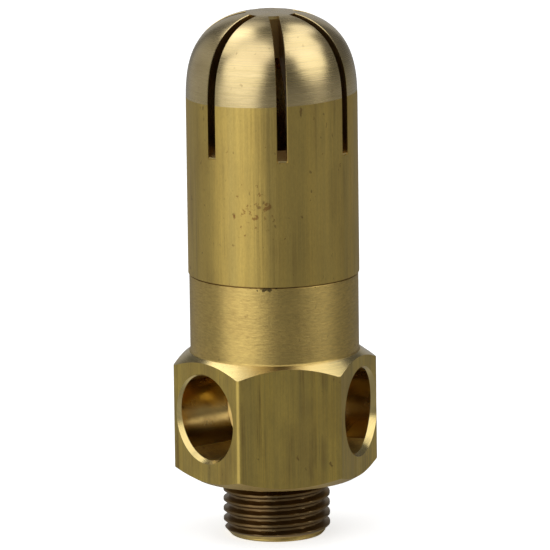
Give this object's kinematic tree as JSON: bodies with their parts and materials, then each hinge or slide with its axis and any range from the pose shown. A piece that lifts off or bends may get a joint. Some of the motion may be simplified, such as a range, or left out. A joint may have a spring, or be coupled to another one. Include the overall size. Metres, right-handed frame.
{
  "type": "atmospheric gas jet burner",
  "caption": "Brass gas jet burner: threaded gas inlet, hexagon with open air windows, mixing tube and a slotted domed flame head.",
  "frame": {"origin": "centre of the gas spigot's end face", "axes": "+Z along the burner's axis from the gas inlet to the flame head; -Y square out of the hexagon's undrilled front flat; +X to the right of it"},
  "size_m": [0.0184, 0.016, 0.0473],
  "materials": {
    "body_brass": "drawn hexagon with turned collar, satin",
    "head_brass": "drawn bar with a finely turned dome, satin",
    "injector_brass": "fine turned",
    "washer_copper": "soft annealed copper, dull"
  },
  "bodies": {
    "body": {"burner_body": "body_brass"},
    "head": {"burner_head": "head_brass"},
    "injector": {"gas_injector": "injector_brass", "injector_washer": "washer_copper"}
  },
  "joints": [
    {"name": "head_lift", "type": "slide", "parent": "body", "child": "head", "axis": [0, 0, 1], "range_m": [0, 0.015]},
    {"name": "injector_lift", "type": "slide", "parent": "body", "child": "injector", "axis": [0, 0, 1], "range_m": [0, 0.006]}
  ]
}
